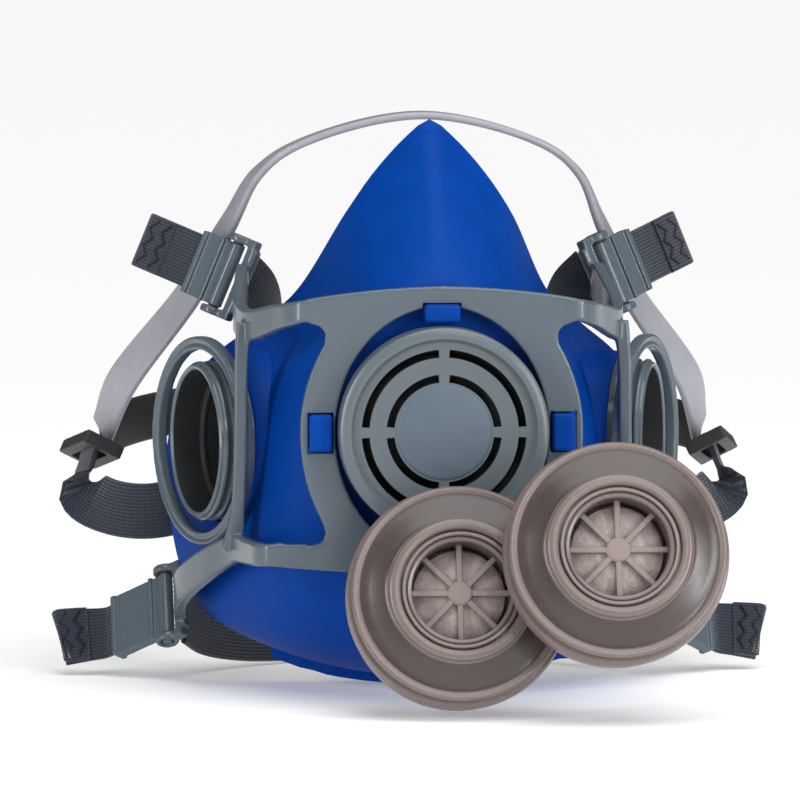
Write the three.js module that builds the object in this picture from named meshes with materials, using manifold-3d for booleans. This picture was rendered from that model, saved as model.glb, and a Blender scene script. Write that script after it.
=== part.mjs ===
// Half-mask respirator with two detached round filters, a head cradle and a neck strap.
// Millimetres. +X is the viewer's right, the mask faces -Y, +Z is up, and the floor is at z = 0.
import * as THREE from 'three';
import { mergeVertices } from 'three/addons/utils/BufferGeometryUtils.js';
import Module from 'manifold-3d';

const wasm = await Module();
wasm.setup();

// ---- driving dimensions --------------------------------------------------------------------
const CENTRE_Y = 56.3;            // shift that centres the whole assembly on the origin in Y
const GAP = 0.3;                  // clearance between pieces that touch
const ROUND = 28;                 // sides of the large round pieces
const SMALL_ROUND = 10;           // sides of pins and barrels

const VALVE_Z = 69.2;             // height of the exhalation valve's axis
const SKIN_FRONT = 12.5;          // depth of the facepiece's flat front, behind the cover's face
const SKIN = 2.8;                 // thickness of the facepiece
const FRONT_HALF_WIDTH = 31;      // flat front of the facepiece
const FRONT_HALF_HEIGHT = 36;
const FRONT_HOLE = 22.5;          // radius of its valve hole

const COVER_RADIUS = 26.4;
const COVER_DEPTH = 8.8;
const PLATE_FRONT = 7.6;          // front of the outer frame's plate
const PLATE_THICKNESS = 3.8;

const PORT = { x: 59.1, y: 56, z: 63.4, turn: 74.4, mouth: 19.7, bore: 18.2, hole: 20.9, length: 27 };
const RING = { x: 58.2, y: 56.5, z: 63.4, turn: 67.4, outer: 26.8, inner: 23.4, thickness: 2.8 };

const UPPER_BAR = { at: [49.8, 74, 105], up: [-0.378, 0, 0.926], out: [0.735, 0.618, 0.3], reach: 10,
  tail: { run: 17, aside: 0, down: 0, twist: 0 } };
const LOWER_BAR = { at: [65, 81, 18.9], up: [0, 0.545, 0.838], out: [0.7, 0.6, -0.39], reach: 17.5,
  tail: { run: 12.8, aside: 6.2, down: 0.2, twist: 0.36 } };
const BAR_HALF = 8.5;             // half length of a buckle's barrel
const STRAP_WIDTH = 14.5;
const STRAP_THICKNESS = 1.5;

const FILTER = { radius: 28, depth: 16, lean: 17, boss: 18, bossHeight: 4, recess: 12.3 };
const LEFT_FILTER = { x: 1.6, y: -24.8 };
const RIGHT_FILTER = { x: 39, rise: 12.1 };

// half outline of the face seal's rim, from the nose to the chin
const RIM = [
  [0, 43, 146.1], [5, 43.3, 142.6], [13.7, 44, 133.2], [21.1, 46, 122.4], [33.1, 66, 100.3],
  [43, 75, 91.5], [51, 81.5, 85], [58.5, 85.5, 76.5], [63, 87, 66.5], [64.8, 86, 54.7],
  [64, 83.5, 43.4], [61.2, 79, 28.5], [55.8, 75, 18.5], [47, 72, 12.5], [36, 71, 8.6],
  [24, 71.5, 6.3], [12, 72.3, 5], [0, 72.7, 4.6],
];

// ---- colours -------------------------------------------------------------------------------
const finish = (color, roughness, metalness = 0) => ({ color, roughness, metalness });
const BLUE = finish(0x0b4aa8, 0.55);
const GREY = finish(0x7b8284, 0.45);
const VALVE_GREY = finish(0x7d8f9b, 0.5);
const STRAP = finish(0x3d4a59, 0.9);
const CRADLE = finish(0x5f5e64, 0.5);
const BLACK = finish(0x1d1f23, 0.7);
const CLEAR = finish(0xd8dcdc, 0.4);
const TAUPE = finish(0x8a7976, 0.45);
const MEDIA = finish(0xb3a39f, 0.95);

// ---- helpers -------------------------------------------------------------------------------
const vec = (x, y, z) => new THREE.Vector3(x, y, z);
const lerp = THREE.MathUtils.lerp;
const rad = THREE.MathUtils.degToRad;

/** A three.js geometry as a solid, its shared vertices merged and its faces turned outwards. */
function solid(geometry, matrix = null) {
  const work = geometry.clone();
  if (matrix) work.applyMatrix4(matrix);
  for (const name of Object.keys(work.attributes)) {
    if (name !== 'position') work.deleteAttribute(name);
  }
  const merged = mergeVertices(work, 1e-4);
  const at = merged.attributes.position;
  let triangles = [];
  for (let i = 0; i < merged.index.count; i += 3) {
    const [a, b, c] = [0, 1, 2].map((k) => merged.index.getX(i + k));
    if (a !== b && b !== c && c !== a) triangles.push([a, b, c]);
  }
  const corner = (i) => vec().fromBufferAttribute(at, i);
  const volume = triangles.reduce((sum, [a, b, c]) => sum + corner(a).dot(corner(b).cross(corner(c))), 0);
  if (volume < 0) triangles = triangles.map(([a, b, c]) => [a, c, b]);
  return new wasm.Manifold(new wasm.Mesh({
    numProp: 3, vertProperties: new Float32Array(at.array), triVerts: new Uint32Array(triangles.flat()),
  }));
}

/** The solid as an indexed three.js geometry. */
function geometryOf(body) {
  const mesh = body.getMesh();
  const geometry = new THREE.BufferGeometry();
  geometry.setAttribute('position', new THREE.BufferAttribute(mesh.vertProperties, 3));
  geometry.setIndex(new THREE.BufferAttribute(mesh.triVerts, 1));
  geometry.computeVertexNormals();
  return geometry;
}

const parts = new THREE.Group();
parts.position.y = -CENTRE_Y;

/** Adds one named node, in mask coordinates or inside a placed group. */
function node(name, body, look, parent = parts) {
  const mesh = new THREE.Mesh(geometryOf(body), new THREE.MeshStandardMaterial(look));
  mesh.name = name;
  parent.add(mesh);
}

/** A frame whose local Z points along `out` and whose local Y is as near `up` as it can be. */
function frameAt(origin, out, up = vec(0, 0, 1)) {
  const z = out.clone().normalize();
  const x = up.clone().cross(z).normalize();
  const y = z.clone().cross(x);
  return new THREE.Matrix4().makeBasis(x, y, z).setPosition(origin);
}

function placedGroup(matrix) {
  const group = new THREE.Group();
  group.applyMatrix4(matrix);
  parts.add(group);
  return group;
}

/** A solid of revolution about local Z, from [radius, height] corners. */
function lathe(profile, sides = ROUND) {
  const points = profile.map(([r, h]) => new THREE.Vector2(r, h));
  if (profile[0][0] !== 0) points.push(points[0].clone());
  return solid(new THREE.LatheGeometry(points, sides).rotateX(Math.PI / 2));
}

const disc = (radius, low, high, sides = ROUND) =>
  lathe([[0, low], [radius, low], [radius, high], [0, high]], sides);
const ring = (inner, outer, low, high, sides = ROUND) =>
  lathe([[inner, low], [outer, low], [outer, high], [inner, high]], sides);

function box(sizeX, sizeY, sizeZ, x = 0, y = 0, z = 0) {
  return solid(new THREE.BoxGeometry(sizeX, sizeY, sizeZ).translate(x, y, z));
}

/** A closed solid through rings of points that all have the same number of corners. */
function loft(sections, closed = false) {
  const corners = sections[0].length;
  const rows = sections.length;
  const index = [];
  for (let i = 0; i < (closed ? rows : rows - 1); i++) {
    for (let k = 0; k < corners; k++) {
      const [a, b] = [i * corners + k, i * corners + (k + 1) % corners];
      const next = ((i + 1) % rows - i) * corners;
      index.push(a, b, b + next, a, b + next, a + next);
    }
  }
  if (!closed) {
    const last = (rows - 1) * corners;
    for (let k = 1; k < corners - 1; k++) index.push(0, k + 1, k, last, last + k, last + k + 1);
  }
  const geometry = new THREE.BufferGeometry();
  const flat = sections.flat().flatMap((p) => [p.x, p.y, p.z]);
  geometry.setAttribute('position', new THREE.Float32BufferAttribute(flat, 3));
  geometry.setIndex(index);
  return solid(geometry);
}

/** A flat strip along stations {at, across, width}, smoothed, of one thickness. */
function strip(stations, thickness, steps) {
  const path = new THREE.CatmullRomCurve3(stations.map((s) => s.at), false, 'centripetal');
  const directions = stations.map((s) => s.across.clone().normalize());
  const turns = new THREE.CatmullRomCurve3(directions, false, 'centripetal');
  const sections = [];
  for (let i = 0; i <= steps; i++) {
    const t = i / steps;
    const along = path.getTangent(t);
    const across = turns.getPoint(t);
    across.addScaledVector(along, -across.dot(along)).normalize();
    const normal = along.clone().cross(across).multiplyScalar(thickness / 2);
    const k = Math.min(Math.floor(t * (stations.length - 1)), stations.length - 2);
    const width = lerp(stations[k].width, stations[k + 1].width, t * (stations.length - 1) - k);
    const half = across.multiplyScalar(width / 2);
    const centre = path.getPoint(t);
    sections.push([[1, 1], [1, -1], [-1, -1], [-1, 1]].map(([a, b]) =>
      centre.clone().addScaledVector(half, a).addScaledVector(normal, b)));
  }
  return loft(sections);
}

const station = (side, at, across, width = STRAP_WIDTH) =>
  ({ at: vec(side * at[0], at[1], at[2]), across: vec(side * across[0], across[1], across[2]), width });

const union = (bodies) => bodies.reduce((whole, body) => whole.add(body));
const outward = (side, turn) => vec(side * Math.sin(rad(turn)), -Math.cos(rad(turn)), 0);
const portFrame = (side) => frameAt(vec(side * PORT.x, PORT.y, PORT.z), outward(side, PORT.turn));

// ---- facepiece -----------------------------------------------------------------------------
/** Closed section loops round the mask: outer wall, inturned face seal, inner wall. */
function facepieceSections(around = 44, steps = 7) {
  const mirrored = RIM.slice(1, -1).reverse().map(([x, y, z]) => vec(-x, y, z));
  const rim = new THREE.CatmullRomCurve3([...RIM.map((p) => vec(...p)), ...mirrored], true, 'centripetal');
  const outer = [];
  for (let i = 0; i < around; i++) {
    const half = Math.min(i, around - i);
    const r = rim.getPointAt(half / around);
    if (half === 0 || half === around / 2) r.x = 0;
    const angle = Math.atan2(r.x, r.z - VALVE_Z);
    const [s, c] = [Math.sin(angle), Math.cos(angle)];
    const reach = 1 / Math.hypot(s / FRONT_HALF_WIDTH, c / FRONT_HALF_HEIGHT);
    const front = vec(reach * s, SKIN_FRONT, VALVE_Z + reach * c);
    const span = Math.hypot(r.x - front.x, r.z - front.z);
    const away = vec(r.x - front.x, 0, r.z - front.z).divideScalar(span);
    const top = Math.max(0, c) ** 2;
    const chin = Math.max(0, -c) ** 2;
    const cheek = 1 - top - chin;
    const leave = front.clone().addScaledVector(away, span * (0.33 * top + 0.2 * cheek + 0.8 * chin));
    leave.y += 10 * top + 7.5 * cheek + 7.5 * chin;
    const arrive = r.clone().addScaledVector(away, span * (-0.33 * top - 0.5 * cheek + 0.25 * chin));
    arrive.y -= 10 * top + 28 * cheek + 27 * chin;
    const wall = new THREE.CubicBezierCurve3(front, leave, arrive, r);
    const hole = vec(FRONT_HOLE * s, SKIN_FRONT, VALVE_Z + FRONT_HOLE * c);
    const row = [hole, ...wall.getPoints(steps)];
    outer.push(i === half ? row : row.map((p) => vec(-p.x, p.y, p.z)));
  }
  return outer.map((row, i) => {
    const [before, after] = [outer[(i + around - 1) % around], outer[(i + 1) % around]];
    const inner = row.slice(1, -1).map((p, k) => {
      if (k === 0) return vec(p.x, p.y + SKIN, p.z);
      const along = row[k + 2].clone().sub(row[k]);
      const round = after[k + 1].clone().sub(before[k + 1]);
      const inwards = along.cross(round).normalize();
      if (inwards.y < 0 || inwards.x * p.x > 0) inwards.multiplyScalar(Math.sign(inwards.y) || 1);
      return p.clone().addScaledVector(inwards, SKIN);
    });
    const r = row.at(-1);
    const centre = vec(-r.x, 0, VALVE_Z - r.z).normalize();
    const seal = r.z > 120 ? 5 : 9;
    const tip = r.clone().addScaledVector(centre, seal).add(vec(0, -1, 0));
    const lip = tip.clone().add(vec(0, -1.8, 0));
    const corner = r.clone().addScaledVector(centre, SKIN).add(vec(0, -SKIN, 0));
    const backHole = row[0].clone().add(vec(0, SKIN, 0));
    return [...row, tip, lip, corner, ...inner.reverse(), backHole];
  });
}

/** The lugs that key the outer frame: width, height, x, z. */
const LUGS = [[5.8, 9.4, 30.6, VALVE_Z - 0.4], [5.8, 9.4, -30.6, VALVE_Z - 0.4],
  [9, 4.6, 0, 98.7], [9, 4.6, 0, 38.2]];

function facepiece() {
  let body = loft(facepieceSections(), true);
  for (const side of [-1, 1]) {
    body = body.subtract(solid(geometryOf(disc(PORT.hole, -30, 8)), portFrame(side)));
  }
  for (const [width, height, x, z] of LUGS) body = body.add(box(width, 9.5, height, x, 9.75, z));
  return body;
}

// ---- outer frame ---------------------------------------------------------------------------
/** Front outline of the plate: arched top, bars towards the four arms, waist beside the valve. */
function plateShape() {
  const shape = new THREE.Shape();
  shape.moveTo(0, 105.5);
  shape.quadraticCurveTo(20, 105, 36, 102.2);
  shape.lineTo(36, 96.7);
  shape.quadraticCurveTo(28, 96, 29.5, 91);
  shape.bezierCurveTo(34, 83, 35.6, 76, 35.6, VALVE_Z);
  shape.bezierCurveTo(35.6, 61, 34, 53, 29.5, 45.5);
  shape.quadraticCurveTo(28, 40.5, 33, 40.3);
  shape.lineTo(45, 41);
  shape.lineTo(45, 35.3);
  shape.quadraticCurveTo(30, 33.6, 0, 32.6);
  const half = shape.getPoints(5);
  const mirrored = half.slice(1, -1).map((p) => new THREE.Vector2(-p.x, p.y));
  return new THREE.Shape([...mirrored, ...half.reverse()]);
}

function plate() {
  const shape = plateShape();
  const oval = new THREE.Path();
  oval.absellipse(0, 68.7, 26.9, 31.7, 0, 2 * Math.PI, true);
  shape.holes.push(new THREE.Path(oval.getPoints(ROUND).slice(0, -1)));
  const settings = { depth: PLATE_THICKNESS, bevelEnabled: false, curveSegments: 1 };
  const flat = new THREE.ExtrudeGeometry(shape, settings);
  let body = solid(flat.rotateX(Math.PI / 2).translate(0, PLATE_FRONT + PLATE_THICKNESS, 0));
  for (const [width, height, x, z] of LUGS) {
    body = body.subtract(box(width + 2 * GAP, 20, height + 2 * GAP, x, 10, z));
  }
  return body;
}

/** Local frame of a buckle: origin at the middle of its bar, X towards the strap's tail, Z along the bar. */
function barFrame(side, bar) {
  const up = vec(side * bar.up[0], bar.up[1], bar.up[2]).normalize();
  const out = vec(side * bar.out[0], bar.out[1], bar.out[2]);
  out.addScaledVector(up, -out.dot(up)).normalize();
  return new THREE.Matrix4().makeBasis(out, up.clone().cross(out), up)
    .setPosition(vec(side * bar.at[0], bar.at[1], bar.at[2]));
}

/** The fork at the end of an arm, with the two eyes that hold a buckle's stubs. */
function fork() {
  const eye = (z) => ring(1.75, 3.1, z - 1, z + 1, SMALL_ROUND).add(box(3.6, 3, 2, -3.9, 0, z));
  return union([box(2.4, 3, 21.8, -5, 0, 0), box(3, 2.4, 17, -5.6, 0, 0),
    eye(BAR_HALF + 1.4), eye(-BAR_HALF - 1.4)]);
}

function outerFrame() {
  const pieces = [plate()];
  for (const side of [-1, 1]) {
    const arm = (list, across = [0, 0, 1]) =>
      strip(list.map(([at, width]) => station(side, at, across, width)), 3, 2 * list.length);
    pieces.push(arm([[[34.5, 9.6, 99.3], 5.6], [[40.5, 21, 97], 6.6], [[46.6, 33.6, 94.4], 8.2],
      [[48.2, 48, 96], 9], [[47.2, 60, 99.5], 9.5], [[45.8, 70.6, 103.4], 10]]));
    pieces.push(arm([[[43.8, 9.6, 38.2], 5.6], [[46.8, 20, 37.8], 6], [[50.6, 35, 37.3], 7],
      [[57.4, 50, 31.5], 8.4], [[62, 65, 25], 9], [[61.7, 76, 20.3], 10.5]]));
    pieces.push(arm([[[48, 33.2, 94], 3.4], [[49, 32.6, 66], 3.2], [[50.6, 34.6, 37.5], 3.8]], [1, 0, 0]));
    pieces.push(solid(geometryOf(ring(RING.inner, RING.outer, -RING.thickness, 0)),
      frameAt(vec(side * RING.x, RING.y, RING.z), outward(side, RING.turn))));
    for (const bar of [UPPER_BAR, LOWER_BAR]) pieces.push(solid(geometryOf(fork()), barFrame(side, bar)));
  }
  return union(pieces);
}

// ---- exhalation valve ----------------------------------------------------------------------
/** Four arcs of a slot ring, each a quarter turn less its rib. */
function slotRing(inner, outer, rib) {
  const arcs = [0, 1, 2, 3].map((quarter) => {
    const margin = (rib / 2) / ((inner + outer) / 2);
    const [from, to] = [quarter * Math.PI / 2 + margin, (quarter + 1) * Math.PI / 2 - margin];
    const shape = new THREE.Shape();
    shape.absarc(0, 0, outer, from, to, false);
    shape.absarc(0, 0, inner, to, from, true);
    const settings = { depth: 8, bevelEnabled: false, curveSegments: 8 };
    return solid(new THREE.ExtrudeGeometry(shape, settings).translate(0, 0, -6));
  });
  return union(arcs);
}

function spokes(count, length, width, low, high) {
  return union(Array.from({ length: count }, (_, k) => {
    const bar = new THREE.BoxGeometry(length, width, high - low).translate(length / 2, 0, (low + high) / 2);
    return solid(bar.rotateZ(k * 2 * Math.PI / count));
  }));
}

function exhalationValve() {
  const group = placedGroup(frameAt(vec(0, 0, VALVE_Z), vec(0, -1, 0)));
  const seat = lathe([[18, -17.6], [25.3, -17.6],
    [25.3, -SKIN_FRONT - SKIN - GAP], [22.2, -SKIN_FRONT - SKIN - GAP],
    [22.2, -12.2], [25.6, -12.2], [25.6, -9.2], [20, -9.2], [20, -13.2], [18, -13.2]])
    .add(spokes(4, 18.6, 2, -15.4, -13.6)).add(disc(3.2, -15.6, -13.4, SMALL_ROUND));
  node('exhalation_valve_seat', seat.subtract(disc(1.5, -18, -10, SMALL_ROUND)), GREY, group);
  node('exhalation_flap', disc(19.2, -12.8, -12, 24).add(disc(1, -16.2, -12.4, SMALL_ROUND)), CLEAR, group);
  const cup = lathe([[0, -1.8], [22.4, -1.8], [23.8, 0], [25.4, 0],
    [COVER_RADIUS, -0.9], [COVER_RADIUS, -COVER_DEPTH],
    [24.7, -COVER_DEPTH], [24.7, -3.9], [0, -3.9]]);
  const slotted = cup.subtract(slotRing(18.75, 20.75, 2.6)).subtract(slotRing(12.5, 14.4, 2.6));
  node('exhalation_valve_cover', slotted,
    VALVE_GREY, group);
}

// ---- inhalation ports ----------------------------------------------------------------------
function port(side, name) {
  const group = placedGroup(portFrame(side));
  const body = lathe([[PORT.bore, 0], [PORT.mouth, 0], [PORT.mouth, -1],
    [20.3, -1.4], [20.3, -2.2], [19.8, -2.6],
    [20.5, -3.2], [20.5, -PORT.length], [15.6, -PORT.length], [15.6, -9], [PORT.bore, -9]]);
  node(`${name}_port_body`, body, GREY, group);
  node(`${name}_port_gasket`, ring(15.8, 17.9, -8.7, -7.2), BLACK, group);
  const web = union([ring(13.4, 15.3, -19, -16.5), spokes(4, 14, 1.8, -18.4, -17),
    disc(3, -18.6, -16.8, SMALL_ROUND)]);
  node(`${name}_inhalation_seat`, web.subtract(disc(1.4, -20, -15, SMALL_ROUND)), GREY, group);
  const flap = disc(14.6, -20.2, -19.4, 24).add(disc(0.9, -19.8, -16.2, SMALL_ROUND));
  node(`${name}_inhalation_flap`, flap, CLEAR, group);
  node(`${name}_port_clamp_ring`, ring(20.8, 22.8, -25.6, -22.9), GREY, group);
}

// ---- buckles and strap tails -----------------------------------------------------------------
function buckle(side, bar, name) {
  const group = placedGroup(barFrame(side, bar));
  const plateWidth = 2 * BAR_HALF;
  const slot = (x) => box(1.8, 8, STRAP_WIDTH + 0.6, x, 3.6 * side, 0);
  const body = union([lathe([[0, -BAR_HALF], [2, -BAR_HALF], [2, BAR_HALF], [0, BAR_HALF]], SMALL_ROUND),
    disc(1.35, -BAR_HALF - 2.2, BAR_HALF + 2.2, SMALL_ROUND),
    box(bar.reach, 2.6, plateWidth, bar.reach / 2, 0, 0),
    box(1.6, 4.6, plateWidth, bar.reach - 0.8, 0, 0)])
    .subtract(slot(bar.reach - 6.6)).subtract(slot(bar.reach - 2.9));
  node(`${name}_buckle`, body, GREY, group);
  const start = bar.reach + GAP;
  const { run, aside, down, twist } = bar.tail;
  const bend = (t, share) => ({
    at: vec(start + t * run, -side * share * aside, -share * down),
    across: vec(0, -side * share * twist, 1), width: STRAP_WIDTH,
  });
  const tail = strip([bend(0, 0), bend(0.25, 0.02), bend(0.6, 0.45), bend(1, 1)], STRAP_THICKNESS, 8);
  node(`${name}_strap_tail`, tail, STRAP, group);
}

// ---- straps --------------------------------------------------------------------------------
function upperStrap(side, name) {
  const list = [
    station(side, [81, 122.8, 58.7], [0, 0.9, 0.3]), station(side, [83, 121.3, 54.3], [0, 0.9, 0.3]),
    station(side, [84.6, 117.5, 46.5], [0, 0.8, 0.6]), station(side, [78.5, 110, 42.5], [0, 0.2, 1]),
    station(side, [66, 101, 42], [0, 0.1, 1]), station(side, [53, 98, 47], [0.5, 0.2, 0.8]),
    station(side, [44, 94, 61], [0.8, 0.5, 0.2]), station(side, [38.5, 89, 78], [0.3, 0.95, 0.1]),
    station(side, [36, 86, 90], [-0.1, 0.85, 0.5]), station(side, [39.5, 82.5, 99], [-0.35, 0.6, 0.72]),
    station(side, [45.2, 79.8, 105], [-0.4, 0.5, 0.77]),
  ];
  node(`${name}_upper_strap`, strip(list, STRAP_THICKNESS, 20), STRAP);
}

function neckStrap(side, name) {
  const list = [
    station(side, [60.8, 86, 15.5], [0, 0.5, 0.85]), station(side, [54, 97, 11.5], [0, 0.2, 1]),
    station(side, [42, 110, 8.6], [0, 0, 1]), station(side, [27, 121.5, 7.6], [0, 0, 1]),
    station(side, [10.5, 128.4, 7.6], [0, 0, 1]),
  ];
  node(`${name}_neck_strap`, strip(list, STRAP_THICKNESS, 9), STRAP);
}

/** The clip that closes the neck strap: a plate with a tongue, and a loop that the tongue enters. */
function neckClip() {
  const wing = (x, y) => box(5.4, 2.6, 15.4, x, y, 8);
  const hook = union([wing(-7, 130.8), box(12.4, 2, 8, -1.3, 130.5, 8), box(2.6, 5, 5, 2.6, 133.4, 8)]);
  node('neck_clip_hook', hook, BLACK);
  const loop = box(15, 2.2, 15.4, 2.2, 133.2, 8).subtract(box(11, 8, 9, 0.4, 133.2, 8));
  node('neck_clip_loop', loop.add(box(3, 2.4, 15.4, 9.2, 131.5, 8)), BLACK);
}

// ---- head cradle -----------------------------------------------------------------------------
const HOOP = [[79, 124, 61.5], [74.6, 111, 75], [57.7, 98, 99],
  [48.2, 85, 117.8], [41.3, 76, 131], [31, 70.5, 138.8]];
const HOOP_TOP = [0, 67.5, 146.2];
const SLOT = [82, 122, 56.5];     // middle of the strap slot in each end of the cradle
const REAR_BAND = [[79, 124, 61], [66, 141, 63.6], [46, 153, 66], [22, 160, 68]];
const REAR_MIDDLE = [0, 162, 68.5];

function headCradle() {
  const across = [[0.3, 0.5, 0.8], [0.55, 0.65, 0.5], [0.45, 0.85, 0.3],
    [0.2, 0.95, 0.1], [0.1, 1, 0], [0, 1, 0]];
  const both = (list, make, middle) =>
    [...list.map((p, i) => make(-1, p, i)), middle, ...list.map((p, i) => make(1, p, i)).reverse()];
  const hoopTop = station(1, HOOP_TOP, [0, 1, 0], 9);
  const hoop = both(HOOP, (side, p, i) => station(side, p, across[i], 10), hoopTop);
  const bandMiddle = station(1, REAR_MIDDLE, [0, 0.2, 1], 12);
  const band = both(REAR_BAND, (side, p) => station(side, p, [0, 0.2, 1], 12), bandMiddle);
  let body = strip(hoop, 2, 36).add(strip(band, 2.2, 24));
  for (const side of [-1, 1]) {
    const slotAt = vec(side * SLOT[0], SLOT[1], SLOT[2]);
    const slotFrame = frameAt(slotAt, vec(side * 0.4, -0.3, -0.87), vec(0, 0.9, 0.3));
    body = body.add(solid(new THREE.BoxGeometry(11, 21, 3.6), slotFrame));
    body = body.subtract(solid(new THREE.BoxGeometry(4.6, 16.6, 6), slotFrame));
  }
  return body;
}

// ---- filters ---------------------------------------------------------------------------------
const leanUp = Math.sin(rad(FILTER.lean));
const leanCos = Math.cos(rad(FILTER.lean));
const filterOut = vec(0, -leanCos, leanUp);
const leftCentre = vec(LEFT_FILTER.x, LEFT_FILTER.y, FILTER.radius * leanCos + FILTER.depth * leanUp);
// the right filter's back stands clear of the left filter's boss
const step = FILTER.depth + FILTER.bossHeight + 0.5;
const rightCentre = leftCentre.clone().addScaledVector(filterOut, step);
const inPlane = (RIGHT_FILTER.rise - step * leanUp) / leanCos;
rightCentre.add(vec(RIGHT_FILTER.x - LEFT_FILTER.x, inPlane * leanUp, inPlane * leanCos));

function filter(centre, name) {
  const group = placedGroup(frameAt(centre, filterOut));
  const { radius, depth, boss, bossHeight, recess } = FILTER;
  const shell = lathe([[recess, -6.6], [recess, 2.8], [13.5, 3], [13.5, 1.9], [15.3, 1.9], [15.3, bossHeight],
    [boss, bossHeight], [boss, 1.8],
    [19, 1.5], [25.2, 0], [26.9, 0], [26.9, -2.6], [26.2, -3], [26.2, -3.8], [24.6, -3.8], [24.6, -6.6]]);
  const grille = spokes(8, 13, 2, -2.4, -0.6).add(disc(3.4, -2.4, -0.4, 16));
  node(`${name}_filter_housing`, shell.add(grille), TAUPE, group);
  node(`${name}_filter_gasket`, ring(13.8, 15, 1.9 + GAP, bossHeight - 0.5), TAUPE, group);
  node(`${name}_filter_media`, disc(24.2, -13.4, -6.9), MEDIA, group);
  node(`${name}_filter_cover`, lathe([[0, -depth], [26, -depth], [radius, -14.6],
    [radius, -4.8], [26.6, -4.1],
    [24.9, -4.1], [24.9, -13.7], [0, -13.7]]), TAUPE, group);
}

// ---- assembly --------------------------------------------------------------------------------
node('facepiece', facepiece(), BLUE);
node('outer_frame', outerFrame(), GREY);
exhalationValve();
for (const [side, name] of [[-1, 'left'], [1, 'right']]) {
  port(side, name);
  buckle(side, UPPER_BAR, `${name}_upper`);
  buckle(side, LOWER_BAR, `${name}_lower`);
  upperStrap(side, name);
  neckStrap(side, name);
}
neckClip();
node('head_cradle', headCradle(), CRADLE);
filter(leftCentre, 'left');
filter(rightCentre, 'right');

export default parts;
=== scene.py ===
# Half-mask respirator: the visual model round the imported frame, in metres.
# Shapes are given in mask millimetres: X to the viewer's right, D back from the valve cover's face, Z up.
import math
import bmesh
import bpy
from mathutils import Matrix, Vector


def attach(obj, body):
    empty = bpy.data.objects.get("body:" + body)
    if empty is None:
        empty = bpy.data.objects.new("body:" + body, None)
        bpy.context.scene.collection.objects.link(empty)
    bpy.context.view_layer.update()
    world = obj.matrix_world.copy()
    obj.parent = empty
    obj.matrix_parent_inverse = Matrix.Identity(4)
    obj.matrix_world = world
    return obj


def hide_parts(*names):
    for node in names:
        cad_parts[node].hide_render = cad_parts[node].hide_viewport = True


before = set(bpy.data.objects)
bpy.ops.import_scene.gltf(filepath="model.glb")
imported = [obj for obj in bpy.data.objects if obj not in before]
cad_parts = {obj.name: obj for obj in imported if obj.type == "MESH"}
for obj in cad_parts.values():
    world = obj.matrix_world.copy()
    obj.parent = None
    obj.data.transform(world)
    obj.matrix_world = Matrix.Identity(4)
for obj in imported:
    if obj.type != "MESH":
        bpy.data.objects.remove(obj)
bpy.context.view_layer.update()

MM = 0.001
CENTRE_D = 56.3                     # depth that lies at the frame's Y = 0
TO_FRAME = Matrix.Scale(MM, 4) @ Matrix.Translation((0, -CENTRE_D, 0))
SIDES = {"left": -1, "right": 1}
VALVE_Z = 69.2

PORT = dict(at=(59.1, 56, 63.4), turn=74.4, hole=20.9)
RING = dict(at=(58.2, 56.5, 63.4), turn=67.4, inner=23.4, outer=26.8, thickness=2.8)
UPPER_BAR = dict(at=(49.8, 74, 105), up=(-0.378, 0, 0.926), out=(0.735, 0.618, 0.3), reach=10,
                 run=17, aside=0, down=0, twist=0)
LOWER_BAR = dict(at=(65, 81, 18.9), up=(0, 0.545, 0.838), out=(0.7, 0.6, -0.39), reach=17.5,
                 run=12.8, aside=6.2, down=0.2, twist=0.36)
BAR_HALF = 8.5
EYE_AT = BAR_HALF + 1.4
PIN_HALF = BAR_HALF + 2.2
STRAP_WIDTH = 14.5
STRAP_THICKNESS = 1.5
THREAD_RADIUS = 0.3
FILTER_LEAN = math.radians(17)
RELIEF_DEPTH = 0.3 * MM

# ---- camera, lights and floor ----------------------------------------------------------------
CAMERA_AT = Vector((-0.20243, -2.24104, 0.23089))
CAMERA_AIM = Vector((-0.01129, -0.0563, 0.07754))
CAMERA_LENS = 396


def aim(obj, target):
    obj.rotation_euler = (Vector(target) - obj.location).to_track_quat("-Z", "Y").to_euler()


def add_camera():
    camera = bpy.data.objects.new("camera", bpy.data.cameras.new("camera"))
    camera.data.lens = CAMERA_LENS
    camera.data.sensor_width = 36
    camera.location = CAMERA_AT
    aim(camera, CAMERA_AIM)
    bpy.context.scene.collection.objects.link(camera)
    bpy.context.scene.camera = camera


def add_light(name, at, target, size, power):
    lamp = bpy.data.lights.new(name, "AREA")
    lamp.shape = "RECTANGLE"
    lamp.size, lamp.size_y = size
    lamp.energy = power
    obj = bpy.data.objects.new(name, lamp)
    obj.location = at
    aim(obj, target)
    bpy.context.scene.collection.objects.link(obj)


add_camera()

# ---- materials -------------------------------------------------------------------------------
def linear(r, g, b):
    """An sRGB colour of 0 to 255 as linear RGBA."""
    parts = [c / 255 for c in (r, g, b)]
    return [c / 12.92 if c <= 0.04045 else ((c + 0.055) / 1.055) ** 2.4 for c in parts] + [1]


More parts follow.
